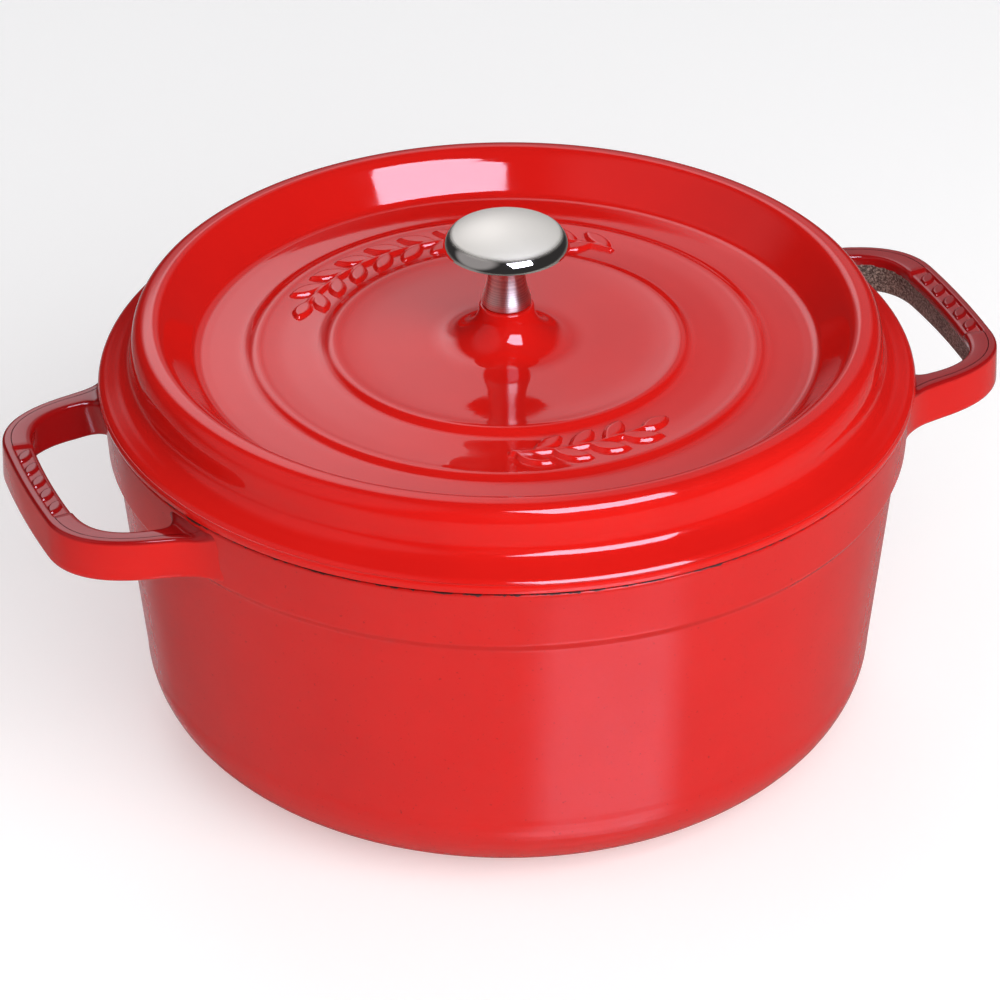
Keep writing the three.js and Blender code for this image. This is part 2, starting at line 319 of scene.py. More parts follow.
RED = (0.60, 0.0094, 0.0066)
RED_DEEP = (0.56, 0.0084, 0.0062)
RED_DARK = (0.12, 0.004, 0.004)
RIM_IRON = (0.045, 0.012, 0.009)
LID_RED = (0.66, 0.0100, 0.0070)
LID_RED_DEEP = (0.62, 0.0090, 0.0066)
SHADED_CRIMSON = (0.30, 0.0052, 0.0058)  # painted shade: a darker red on the handles' tops and on the insides of the loops
SHADED_CRIMSON_DEEP = (0.26, 0.0046, 0.0052)
GROUND_COAT = (0.040, 0.024, 0.019)
GROUND_COAT_WORN = (0.115, 0.080, 0.064)
GROUND_SPECKS = (0.38, 0.31, 0.26)
BLACK_COAT = (0.011, 0.011, 0.012)
BLACK_COAT_PALE = (0.022, 0.021, 0.021)
NICKEL = (0.80, 0.76, 0.70)
NICKEL_TURNED = (0.92, 0.885, 0.83)
NICKEL_GROOVE = (0.68, 0.65, 0.61)
NICKEL_SATIN = (0.92, 0.895, 0.82)
ZINC_LIGHT = (0.50, 0.505, 0.51)
ZINC_DARK = (0.36, 0.365, 0.375)


def glossy_red(name, light, deep):
    """Wet looking red enamel, as on the lid: slow waves, ripples and a little drift in colour."""
    shader = Shader(name)
    shader.set(IOR=1.5)
    shader.colour(shader.mixed(shader.ranged(shader.noise(46, 3), 0.35, 0.7, 0, 1), light, deep))
    shader.roughness(shader.ranged(shader.noise(9, 3), 0.3, 0.7, 0.035, 0.075))
    waves = shader.noise(17, 1.5)
    ripples = shader.noise(3.4, 2.5, 0.55)
    shader.bump([(waves, 0.02), (ripples, 0.010)])
    return shader.material


def satin_red():
    """Red enamel over sand cast iron, as on the pot's wall: orange peel and fine dark specks."""
    shader = Shader("satin_red_enamel")
    shader.set(IOR=1.5)
    drift = shader.ranged(shader.noise(38, 4, 0.6), 0.3, 0.75, 0, 1)
    base = shader.mixed(drift, RED, RED_DEEP)
    specks = shader.ranged(shader.noise(1.1, 2, 0.6), 0.24, 0.33, 0.55, 0)
    # Under the rim the red ends in a ragged line.
    ragged = shader.ranged(shader.noise(4.5, 5, 0.7), 0.30, 0.78, 0, 1.0 * MM)
    edge = shader.math("ADD", shader.height(), ragged)
    bare = shader.ranged(edge, (RIM_TOP - 0.42) * MM, (RIM_TOP - 0.17) * MM, 0, 1)
    shader.colour(shader.mixed(bare, shader.mixed(specks, base, RED_DARK), RIM_IRON))
    # A satin that crosses a roughness of 0.27 makes the denoiser leave pale flecks.
    satin = shader.ranged(shader.noise(3.2, 3), 0.3, 0.7, 0.19, 0.265)
    shader.roughness(shader.math("MAXIMUM", satin, shader.math("MULTIPLY", bare, 0.6)))
    shader.bump([(shader.noise(22, 2), 0.03), (shader.noise(1.9, 2.5, 0.6), 0.016)])
    return shader.material


def handle_enamel():
    """Glossy red enamel that gives way to a speckled ground coat over rough iron where "bare" is 1."""
    shader = Shader("handle_enamel")
    shader.set(IOR=1.5)
    bare = shader.add("ShaderNodeAttribute", attribute_name="bare").outputs["Fac"]
    ragged = shader.math("ADD", bare, shader.ranged(shader.noise(2.2, 4, 0.65), 0.2, 0.8, -0.22, 0.22))
    mask = shader.ranged(ragged, 0.42, 0.58, 0, 1)
    grain = shader.noise(0.85, 4, 0.75)
    patches = shader.ranged(shader.noise(6.5, 3, 0.6), 0.35, 0.7, 0, 1)
    ground = shader.mixed(patches, GROUND_COAT, GROUND_COAT_WORN)
    speckled = shader.mixed(shader.ranged(grain, 0.44, 0.64, 0, 1), ground, GROUND_SPECKS)
    red = shader.mixed(shader.ranged(shader.noise(38, 3), 0.35, 0.7, 0, 1), RED, RED_DEEP)
    # Painted shade: the handles' tops and the insides of the loops take a darker red than the rest.
    painted_shade = shader.add("ShaderNodeAttribute", attribute_name="painted_shade").outputs["Fac"]
    shader.colour(shader.mixed(mask, shader.mixed(painted_shade, red, SHADED_CRIMSON), speckled))
    glossy = shader.ranged(shader.noise(5, 3), 0.3, 0.7, 0.05, 0.10)
    dull = shader.ranged(grain, 0.3, 0.7, 0.75, 0.42)
    shader.roughness(shader.blended(mask, glossy, dull))
    pitted = shader.math("MULTIPLY", mask, grain)
    lumpy = shader.math("MULTIPLY", mask, shader.noise(2.4, 3))
    waves = shader.noise(14, 1.5)
    ripples = shader.noise(2.8, 2)
    shader.bump([(waves, 0.02), (ripples, 0.006), (lumpy, 0.2), (pitted, 0.16)])
    return shader.material


def black_enamel():
    """Matt black enamel with a fine pebbled skin."""
    shader = Shader("matt_black_enamel")
    shader.set(IOR=1.5)
    cloud = shader.ranged(shader.noise(14, 4), 0.3, 0.7, 0, 1)
    shader.colour(shader.mixed(cloud, BLACK_COAT, BLACK_COAT_PALE))
    shader.roughness(shader.ranged(shader.noise(5, 3), 0.3, 0.7, 0.36, 0.56))
    shader.bump([(shader.noise(1.3, 3, 0.6), 0.05), (shader.noise(7, 2), 0.06)])
    return shader.material


def turning_lines(shader, period):
    """Rings left by turning, as a height that depends on radius and height, and the height itself."""
    split = shader.add("ShaderNodeSeparateXYZ")
    shader.link(shader.place, split.inputs["Vector"])
    flat = shader.add("ShaderNodeCombineXYZ")
    shader.link(split.outputs["X"], flat.inputs["X"])
    shader.link(split.outputs["Y"], flat.inputs["Y"])
    radius = shader.add("ShaderNodeVectorMath", operation="LENGTH")
    shader.link(flat.outputs["Vector"], radius.inputs[0])
    along = shader.add("ShaderNodeCombineXYZ")
    shader.link(radius.outputs["Value"], along.inputs["X"])
    shader.link(split.outputs["Z"], along.inputs["Z"])
    noise = shader.add("ShaderNodeTexNoise")
    noise.inputs["Scale"].default_value = 1 / (period * MM)
    noise.inputs["Detail"].default_value = 3
    shader.link(along.outputs["Vector"], noise.inputs["Vector"])
    return noise.outputs["Fac"], split.outputs["Z"]


def nickel(cap_edge, dome_edge):
    """Nickel plate: satin on the dome, polished round the cap's edge, turned on the neck.

    cap_edge and dome_edge are the heights where the cap and its dome begin.
    """
    shader = Shader("nickel_plate")
    lines, height = turning_lines(shader, 0.35)
    on_dome = shader.ranged(height, (dome_edge - 1.0) * MM, (dome_edge + 0.3) * MM, 0, 1)
    on_neck = shader.ranged(height, (cap_edge - 3.5) * MM, (cap_edge - 2.0) * MM, 1, 0)
    groove = shader.ranged(lines, 0.45, 0.62, 0, 1)
    turned_metal = shader.mixed(groove, NICKEL_TURNED, NICKEL_GROOVE)
    plated = shader.mixed(on_neck, NICKEL, turned_metal)
    shader.colour(shader.mixed(on_dome, plated, NICKEL_SATIN))
    # The blasted dome scatters light like a pale paint.
    metallic = shader.math("MULTIPLY_ADD", on_dome, -0.42, 1.0)
    shader.link(metallic, shader.principled.inputs["Metallic"])
    satin = shader.ranged(shader.noise(1.2, 3), 0.3, 0.7, 0.46, 0.51)
    plain = shader.math("MULTIPLY_ADD", on_neck, 0.33, 0.05)
    # Grooves that run round the neck stretch its reflections up and down.
    shader.link(shader.math("MULTIPLY", on_neck, 0.95), shader.principled.inputs["Anisotropic"])
    shader.set(Anisotropic_Rotation=0.25)
    tangent = shader.add("ShaderNodeTangent", direction_type="RADIAL", axis="Z")
    shader.link(tangent.outputs[0], shader.principled.inputs["Tangent"])
    shader.roughness(shader.blended(on_dome, plain, satin))
    grooves = shader.math("MULTIPLY", lines, on_neck)
    shader.bump([(grooves, 0.03), (shader.noise(2.5, 2), 0.0015)])
    return shader.material


def zinc():
    """Zinc plated steel of the screw and its washers."""
    shader = Shader("zinc_plated_steel")
    shader.set(Metallic=1.0)
    cloud = shader.ranged(shader.noise(2.2, 3), 0.3, 0.7, 0, 1)
    shader.colour(shader.mixed(cloud, ZINC_LIGHT, ZINC_DARK))
    shader.roughness(shader.ranged(shader.noise(1.4, 3), 0.3, 0.7, 0.24, 0.42))
    shader.bump([(shader.noise(0.5, 2), 0.006)])
    return shader.material


def floor_paint():
    """Pale paint that reflections see as a darker, polished table, so that the pot's red stays clear."""
    shader = Shader("pale_floor")
    shader.colour(shader.mixed(shader.noise(400, 2), (0.72, 0.72, 0.72), (0.70, 0.70, 0.70)))
    shader.set(Roughness=0.8, Specular_IOR_Level=0.1)
    shader.set(Emission_Color=(1, 1, 1, 1), Emission_Strength=0.40)
    polished = shader.add("ShaderNodeBsdfPrincipled")
    polished.inputs["Base Color"].default_value = (0.42, 0.41, 0.40, 1)
    polished.inputs["Roughness"].default_value = 0.10
    polished.inputs["IOR"].default_value = 2.0
    rays = shader.add("ShaderNodeLightPath")
    mix = shader.add("ShaderNodeMixShader")
    shader.link(rays.outputs["Is Glossy Ray"], mix.inputs[0])
    shader.link(shader.principled.outputs[0], mix.inputs[1])
    shader.link(polished.outputs[0], mix.inputs[2])
    shader.link(mix.outputs[0], shader.tree.nodes["Material Output"].inputs["Surface"])
    return shader.material


GLOSSY_RED = glossy_red("glossy_red_enamel", LID_RED, LID_RED_DEEP)
# Painted shade: the darker red for the leaves in the handles' sunk panels.
SHADED_CRIMSON_ENAMEL = glossy_red("shaded_crimson_enamel", SHADED_CRIMSON, SHADED_CRIMSON_DEEP)
SATIN_RED = satin_red()
HANDLE_ENAMEL = handle_enamel()
BLACK = black_enamel()
ZINC = zinc()


# ---------------------------------------------------------------------------
# Pot
# ---------------------------------------------------------------------------


BEND_STEPS = 22


def bend(depth):
    """The bottom's round bend, at a depth inside the pot's outer surface."""
    floor = FOOT_HEIGHT + depth if depth else 0
    points = []
    for step in range(BEND_STEPS + 1):
        angle = math.pi / 2 * step / BEND_STEPS
        radius = BASE_RADIUS + (WALL_LOW_RADIUS - BASE_RADIUS - depth) * math.sin(angle)
        points.append(Vector((radius, BEND_TOP - (BEND_TOP - floor) * math.cos(angle))))
    return points


def pot_casting():
    """Red from the middle of the base out, up the wall and over the rim, then iron down to the floor."""
    base = rounded(
        [
            (0, FOOT_HEIGHT),
            (FOOT_INNER_RADIUS - 1.6, FOOT_HEIGHT, 0.6),
            (FOOT_INNER_RADIUS, 0, 0.5),
            (BASE_RADIUS - 1, 0),
        ]
    )
    wall = rounded(
        [
            (WALL_LOW_RADIUS, BEND_TOP),
            (WALL_HIGH_RADIUS, STEP_LOW, 0.9),
            (STEP_RADIUS, STEP_HIGH, 0.8),
            (COLLAR_RADIUS, RIM_TOP - 0.35, 1.5),
            (COLLAR_RADIUS - 3.4, RIM_TOP - 0.35),
        ]
    )
    inside = [
        Vector((INNER_TOP_RADIUS, RIM_TOP - 0.5)),
        *reversed(bend(IRON)),
        Vector((0, FOOT_HEIGHT + IRON)),
    ]
    profile = steadied([*base, *bend(0)[1:], *wall[1:], *inside])
    return turned_piece("pot_casting", profile, SIDES, "pot", SATIN_RED, ["pot_body"])


def pot_coat():
    """Black enamel from the rim down over the inside."""
    rim = rounded(
        [
            (COLLAR_RADIUS - 1.5, RIM_TOP - 0.6),
            (COLLAR_RADIUS - 1.3, RIM_TOP, 0.4),
            (INNER_TOP_RADIUS - COAT, RIM_TOP, 1.0),
            (INNER_TOP_RADIUS - COAT - 0.2, RIM_TOP - 6),
        ]
    )
    inner = list(reversed(bend(IRON + COAT)))
    skin = [*rim, *inner, Vector((0, FOOT_HEIGHT + IRON + COAT))]
    back = [
        Vector((0, FOOT_HEIGHT + IRON - 0.2)),
        *bend(IRON - 0.2),
        Vector((INNER_TOP_RADIUS + 0.2, RIM_TOP - 1)),
    ]
    profile = steadied([*skin, *back])
    return turned_piece(
        "pot_black_coat", profile, SIDES, "pot", BLACK, ["pot_lining"], closed=True
    )


# ---------------------------------------------------------------------------
# Loop handles
# ---------------------------------------------------------------------------

ROOT = 108  # both edges of the loop are laid out from here
BURIED_RADIUS = 131  # where the loop ends inside the collar, clear of the pot's inside
OUTER_EDGE = {"root_half": 55.8, "corner": 165.0, "corner_half": 42.8, "apex": HANDLE_END, "run": 0.44}
INNER_EDGE = {"root_half": 42.0, "corner": 154.6, "corner_half": 40.2, "apex": 157.0, "run": 0.44}
PANEL_HALF = 22.5  # half the length of the sunk panel on top of the grip
PANEL_LIP = 2.2  # from the grip's outer edge to the panel
PANEL_DEPTH = 0.9
SIDE_FILLET = 7.5  # rounds that join a handle to the collar, seen from above
TOP_FILLET = 3.6
ARM_STEPS = 48
CORNER_STEPS = 20
GRIP_STEPS = 97
RIGHT_BARE_FROM = -42  # the iron inside the right loop starts just past its near arm
LEFT_BARE_FROM = 47  # on the left loop only the far root is bare


def crossing(start, end, radius):
    """The point between two points that is at a radius from the pot's axis."""
    way = end - start
    along = way.dot(way)
    lean = start.dot(way)
    short = start.dot(start) - radius**2
    return start + way * ((math.sqrt(lean**2 - along * short) - lean) / along)


def loop_edge(root_half, corner, corner_half, apex, run):
    """Points along one edge of the loop, from end to end, paired with those along the other edge."""
    bowed = (2 * apex - corner * (1 - run)) / (1 + run)
    root = Vector((ROOT, root_half))
    turn = Vector((corner, corner_half))
    near = turn + (root - turn) * run
    far = Vector((corner + (bowed - corner) * run, corner_half * (1 - run)))
    crown = Vector((bowed, 0))

    def mirrored(v):
        return Vector((v[0], -v[1]))

    def curve(a, b, c, t):
        return a * (1 - t) ** 2 + b * 2 * t * (1 - t) + c * t * t

    start = crossing(root, near, BURIED_RADIUS)
    arm = [start.lerp(near, step / ARM_STEPS) for step in range(ARM_STEPS + 1)]
    corner_points = [curve(near, turn, far, (step + 1) / CORNER_STEPS) for step in range(CORNER_STEPS)]
    grip = [curve(far, crown, mirrored(far), step / GRIP_STEPS) for step in range(1, GRIP_STEPS)]
    half = [*arm, *corner_points]
    return [mirrored(v) for v in half] + [mirrored(v) for v in grip] + list(reversed(half))


def section(width, sunk):
    """A cross-section between the handle's edges, as points (way from the outer edge, height)."""
    top = HANDLE_TOP
    bottom = HANDLE_BOTTOM
    panel = top - PANEL_DEPTH * sunk
    lean = 2.4  # the inner side slopes out towards the bottom
    corners = [
        (width * 0.5, bottom),
        (0.0, bottom, 2.6),
        (0.4, top, 1.5),
        (PANEL_LIP + 0.9, top, 0.4),
        (PANEL_LIP + 1.4, panel, 0.4),
        (width, panel, 2.4),
        (width - lean * 0.35, bottom + 9.0, 1.5),
        (width - lean * 0.7, bottom + 4.5, 1.5),
        (width - lean, bottom, 2.2),
        (width * 0.5, bottom),
    ]
    return rounded(corners, 6)[:-1]


def handle(name, side, node, bare_from):
    """One loop handle. side is 1 at +X and -1 at -X. Bare iron shows inside from the Y bare_from on."""
    outer_edge = loop_edge(**OUTER_EDGE)
    inner_edge = loop_edge(**INNER_EDGE)
    vertices = []
    bare = []
    painted_shade = []
    for outer, inner in zip(outer_edge, inner_edge):
        middle = (outer + inner) / 2
        width = (outer - inner).length
        sunk = share_of(PANEL_HALF + 0.6, PANEL_HALF - 0.6, abs(middle.y)) if middle.x > 140 else 0
        across = (inner - outer).normalized()
        ring = []
        exposed = share_of(bare_from, bare_from + 6, side * middle.y)
        for way, height in section(width, sunk):
            place = outer + across * way
            ring.append(Vector((place.x, place.y, height)))
            inside = 1.0 if way > width / 2 else 0.0
            bare.append(inside * exposed * share_of(HANDLE_TOP - 2.6, HANDLE_TOP - 5.2, height))
            # Painted shade: 1 on the top and on the loop's inner side, where the darker red goes.
            painted_shade.append(max(inside, share_of(HANDLE_TOP - 1.6, HANDLE_TOP - 0.6, height)))
        vertices += [(side * v.x, side * v.y, v.z) for v in flared(ring)]
    rings = len(outer_edge)
    count = len(vertices) // rings
    faces = []
    for index in range(rings - 1):
        near = index * count
        far = near + count
        for point in range(count):
            after = (point + 1) % count
            faces.append((near + point, near + after, far + after, far + point))
    faces.append(tuple(range(count - 1, -1, -1)))
    faces.append(tuple((rings - 1) * count + point for point in range(count)))
    piece = add_piece(name, vertices, faces, "pot", HANDLE_ENAMEL, [node])
    if signed_volume(piece.data) < 0:
        piece.data.flip_normals()
    for key, values in (("bare", bare), ("painted_shade", painted_shade)):
        attribute = piece.data.attributes.new(key, "FLOAT", "POINT")
        attribute.data.foreach_set("value", values)
    return piece


def share_of(start, end, value):
    """0 before start, 1 after end, smooth between them."""
    t = min(max((value - start) / (end - start), 0), 1)
    return t * t * (3 - 2 * t)


def collar_radius_at(height):
    t = (height - STEP_HIGH) / (RIM_TOP - STEP_HIGH)
    return STEP_RADIUS + (COLLAR_RADIUS - STEP_RADIUS) * t


def fillet_growth(radius, gap):
    """How far a round of a radius stands out from a side wall, at a gap from the surface it runs into."""
    inset = radius - min(max(gap, 0), radius)
    return radius - math.sqrt(radius**2 - inset**2)


def flared(ring):
    """A cross-section near the pot, opened out sideways and upwards to meet the collar in a round."""
    low = min(v.z for v in ring)
    high = max(v.z for v in ring)
    left = min(v.y for v in ring)
    right = max(v.y for v in ring)
    middle = (left + right) / 2
    opened = []
    for v in ring:
        radius = math.hypot(v.x, v.y)
        gap = radius - collar_radius_at(v.z)
        sideways = (v.y - middle) / ((right - left) / 2)
        upwards = max(v.z - low, 0) / (high - low)
        angle = math.atan2(v.y, v.x) + sideways * fillet_growth(SIDE_FILLET, gap) / radius
        z = v.z + upwards * fillet_growth(TOP_FILLET, gap)
        opened.append(Vector((radius * math.cos(angle), radius * math.sin(angle), z)))
    return opened


def signed_volume(mesh):
    total = 0.0
    for polygon in mesh.polygons:
        corners = [mesh.vertices[i].co for i in polygon.vertices]
        for second, third in zip(corners[1:], corners[2:]):
            total += corners[0].dot(second.cross(third)) / 6
    return total


# ---------------------------------------------------------------------------
# Lid
# ---------------------------------------------------------------------------


def lid_floor():
    """Top of the lid from the screw's hole to the edge of the pan."""
    boss = smooth(
        [
            (9.25, 150.8),
            (9.75, 148.9),
            (11.1, 146.4),
            (13.2, 144.2),
            (15.7, 142.4),
            (18.3, 141.1),
            (20.8, 140.45),
            (24.0, 140.2),
            (29.0, 140.12),
        ]
    )
    seat = rounded([(HOLE_RADIUS, BOSS_TOP), (8.95, BOSS_TOP, 0.9), (9.25, 150.8)])
    terraces = smooth(
        [
            (29.0, 140.12),
            (38.0, 140.03),
            (47.0, 140.02),
            (53.0, 140.2),
            (INNER_RING - 1.2, 140.45),
            (INNER_RING, 140.43),
            (INNER_RING + 1.0, 140.15),
            (INNER_RING + 2.4, 139.5),
            (INNER_RING + 3.8, 138.98),
            (INNER_RING + 5.6, 138.66),
            (68.0, 138.4),
            (74.0, 138.2),
            (79.4, 138.28),
            (OUTER_RING - 1.2, 138.4),
            (OUTER_RING, 138.38),
            (OUTER_RING + 1.0, 138.12),
            (OUTER_RING + 2.4, 137.52),
            (OUTER_RING + 3.8, 137.08),
            (OUTER_RING + 5.6, 136.88),
            (94.0, 136.78),
            (98.6, 136.75),
        ]
    )
    return [*seat[:-1], *boss, *terraces[1:]]


def lid_brim():
    """Top of the lid from the edge of the pan over the crest and out to the lip."""
    wall = rounded([(98.6, 136.75), (102.6, 136.85, 2.2), (112.2, 147.7)])
    crest = smooth(
        [
            (111.0, 146.33),
            (112.7, 148.1),
            (114.4, 149.4),
            (116.0, 149.95),
            (117.9, 149.75),
            (119.6, 149.3),
            (121.1, 148.45),
            (122.3, 147.0),
            (123.2, 144.6),
            (123.6, 141.6),
            (123.75, 138.4),
            (124.3, 136.0),
            (125.4, 134.45),
            (127.2, 133.3),
            (129.4, 132.3),
            (131.6, 131.3),
        ],
        7,
    )
    lip = rounded(
        [
            (131.6, 131.3),
            (133.7, 130.4, 1.2),
            (LIP_RADIUS, 128.5, 1.2),
            (LIP_RADIUS - 0.6, LID_BOTTOM + 0.1, 0.5),
            (133.4, 126.4),
        ]
    )
    return [*wall[1:-1], *crest, *lip[1:]]


LID_UNDERSIDE = [
    (121.8, LOCATING_BOTTOM + 0.8),
    (121.8, 142.2),
    (119.0, 145.3),
    (115.0, 144.9),
    (105.0, 133.2),
    (OUTER_RING, 134.3),
    (INNER_RING, 135.7),
    (20.0, 136.5),
]


def lid_casting():
    """Red enamelled iron: pan, brim and lip on top, then back under the locating ring to the hole."""
    under = [
        Vector((LOCATING_RADIUS - 0.3, 126.4)),
        Vector((LOCATING_RADIUS - 0.3, LOCATING_BOTTOM + 0.6)),
        Vector((122.2, LOCATING_BOTTOM + 0.6)),
    ]
    inside = [Vector((r, z)) for r, z in LID_UNDERSIDE[1:]]
    hole = [Vector((HOLE_RADIUS, 136.5))]
    brim = lid_brim()
    top = steadied([*lid_floor()[:-1], *brim])
    profile = [*top, *under, *inside, *hole]
    profile.reverse()
    return turned_piece(
        "lid_casting", profile, SIDES, "lid", GLOSSY_RED, ["lid"], closed=True
    )


SPIKE_RINGS = ((32, 6), (56, 12), (80, 18))  # radius and number of spikes
SPIKE_SIDES = 20


def underside_height(radius):
    """Height of the lid's underside at a radius in the pan."""
    corners = sorted(LID_UNDERSIDE[4:])
    for (r1, z1), (r2, z2) in zip(corners, corners[1:]):
        if r1 <= radius <= r2:
            return z1 + (z2 - z1) * (radius - r1) / (r2 - r1)
    return corners[0][1]


def lid_coat():
    """Black enamel under the lid, from the flange over the locating ring to the screw."""
    ring = rounded(
        [
            (133.2, LID_BOTTOM + 0.5),
            (133.0, LID_BOTTOM, 0.3),
            (LOCATING_RADIUS, LID_BOTTOM, 0.4),
            (LOCATING_RADIUS, LOCATING_BOTTOM, 0.8),
            (121.3, LOCATING_BOTTOM, 0.8),
            (121.2, 141.9, 2.5),
            (118.7, 144.6, 1.5),
            (115.2, 144.2, 2.5),
            (105.2, 132.5, 3.0),
            (OUTER_RING, 133.5, 3.0),
            (INNER_RING, 134.9, 3.0),
            (20.0, 135.7, 3.0),
            (HOLE_RADIUS, 135.7),
        ],
        5,
    )
    back = [Vector((HOLE_RADIUS, 136.7))]
    back += [Vector((r + 0.15, z + 0.2)) for r, z in reversed(LID_UNDERSIDE[1:])]
    back += [Vector((122.4, 127.0)), Vector((130.0, 127.0))]
    profile = steadied([*ring, *back], longest=6.0)
    profile.reverse()
    return turned_piece(
        "lid_black_coat", profile, SIDES, "lid", BLACK, ["lid_lining"], closed=True
    )


def lid_spikes():
    """Blunt spikes that drip the condensed juices back."""
    vertices = []
    faces = []
    for radius, count in SPIKE_RINGS:
        root = underside_height(radius) - COAT
        shape = smooth(
            [
                (6.2, root + 0.25),
                (5.2, root - 0.1),
                (3.9, root - 1.1),
                (2.8, root - 2.6),
                (1.6, root - 3.7),
                (0.0, root - 4.2),
            ],
            4,
        )
        shape[-1] = Vector((0, shape[-1].y))
        profile = [Vector((0, root + 0.5)), *shape]
        profile.reverse()
        for index in range(count):
            angle = 2 * math.pi * (index + 0.5) / count
            centre = (radius * math.cos(angle), radius * math.sin(angle))
            more, quads = turned(profile, SPIKE_SIDES, centre=centre, start=len(vertices))
            vertices += more
            faces += quads
    return add_piece("lid_spikes", vertices, faces, "lid", BLACK)


# ---------------------------------------------------------------------------
# Raised leaf ornament
# ---------------------------------------------------------------------------


def leaf_distance(x, y, tip, tail, width):
    """Distance outside a pointed leaf between two points, negative inside it."""
    (x1, y1), (x2, y2) = tail, tip
    length = math.hypot(x2 - x1, y2 - y1)
    ux, uy = (x2 - x1) / length, (y2 - y1) / length
    along = (x - x1) * ux + (y - y1) * uy - length / 2
    across = np.abs(-(x - x1) * uy + (y - y1) * ux)
    # A leaf is where two round discs overlap.
    radius = (length**2 / 4 + width**2 / 4) / width
    return np.hypot(along, across + radius - width / 2) - radius


def bar_distance(x, y, start, end, width):
    """Distance outside a round ended bar."""
    (x1, y1), (x2, y2) = start, end
    dx, dy = x2 - x1, y2 - y1
    t = np.clip(((x - x1) * dx + (y - y1) * dy) / (dx * dx + dy * dy), 0, 1)
    return np.hypot(x - x1 - t * dx, y - y1 - t * dy) - width / 2


def relief(distance, height, skirt):
    """Height over the surface of a soft edged raised shape."""
    t = np.clip(0.5 - distance / skirt, 0, 1)
    return height * t * t * (3 - 2 * t)


PATCH_DEPTH = 0.6  # of a raised shape's slab, under the surface that it lies on


def raised_patch(name, place, high, body, material):
    """A closed slab whose top follows the relief. place and high are grids of points and heights."""
    rows, columns = high.shape
    top = place.copy()
    top[..., 2] += high
    low = place.copy()
    low[..., 2] -= PATCH_DEPTH
    vertices = [tuple(v) for v in top.reshape(-1, 3)] + [tuple(v) for v in low.reshape(-1, 3)]
    under = rows * columns
    faces = []

    def at(row, column):
        return row * columns + column

    for row in range(rows - 1):
        for column in range(columns - 1):
            quad = (
                at(row, column),
                at(row, column + 1),
                at(row + 1, column + 1),
                at(row + 1, column),
            )
            faces.append(quad)
            faces.append(tuple(under + i for i in reversed(quad)))
    border = [at(0, c) for c in range(columns - 1)]
    border += [at(r, columns - 1) for r in range(rows - 1)]
    border += [at(rows - 1, c) for c in range(columns - 1, 0, -1)]
    border += [at(r, 0) for r in range(rows - 1, 0, -1)]
    for here, there in zip(border, border[1:] + border[:1]):
        faces.append((here, under + here, under + there, there))
    piece = add_piece(name, vertices, faces, body, material)
    if signed_volume(piece.data) < 0:
        piece.data.flip_normals()
    return piece


BAND_LOW = 62.6  # inner radius of the band that the leaves lie in
BAND_HIGH = 79.6
STEM_RADIUS = 71.0
STEM_WIDTH = 1.5
LEAF_PITCH = 12.0
LEAF_REACH = 10.4  # from a leaf's foot to its tip, along the stem
LEAF_SPREAD = 7.2  # from the stem to a leaf's tip
LEAF_WIDTH = 5.0
LEAF_HEIGHT = 1.35


def lid_floor_height(radius):
    """Height of the lid's top on a grid of radii in the pan."""
    points = lid_floor()
    return np.interp(radius, [p.x for p in points], [p.y for p in points])


def lid_garland(name, middle, half_angle):
    """A sprig of leaves along the band between the lid's two rings."""
    spacing = 0.42
    mm_per_degree = 1.24  # at the stem
    columns = int(2 * half_angle * mm_per_degree / spacing)
    angles = np.radians(np.linspace(-half_angle, half_angle, columns))
    radii = np.arange(BAND_LOW, BAND_HIGH + spacing, spacing)
    radius, angle = np.meshgrid(radii, angles, indexing="ij")
    along = angle * STEM_RADIUS
    across = radius - STEM_RADIUS
    reach_along = math.radians(half_angle) * STEM_RADIUS - 4.0
    pairs = int(2 * (reach_along - 5) / LEAF_PITCH)
    distance = bar_distance(along, across, (-reach_along + 4, 0), (reach_along - 6, 0), STEM_WIDTH)
    for index in range(pairs + 1):
        start = -reach_along + 5 + index * LEAF_PITCH
        for side, shift in ((1, 0.0), (-1, LEAF_PITCH / 2)):
            tail = (start + shift, side * 0.5)
            tip = (start + shift + LEAF_REACH, side * LEAF_SPREAD)
            if tip[0] > reach_along - 1:
                continue
            leaf = leaf_distance(along, across, tip, tail, LEAF_WIDTH)
            distance = np.minimum(distance, leaf)
    end = leaf_distance(along, across, (reach_along + 3.0, 0), (reach_along - 7.5, 0), LEAF_WIDTH)
    distance = np.minimum(distance, end)
    high = relief(distance - 0.2, LEAF_HEIGHT, 1.5) - 0.05
    turn = math.radians(middle) + angle
    place = np.stack([radius * np.cos(turn), radius * np.sin(turn), lid_floor_height(radius)], axis=-1)
    return raised_patch(name, place, high, "lid", GLOSSY_RED)


PANEL_LEAVES = 5
PANEL_LEAF_PITCH = 8.4
PANEL_LEAF_WIDTH = 3.8
PANEL_LEAF_HEIGHT = 0.95


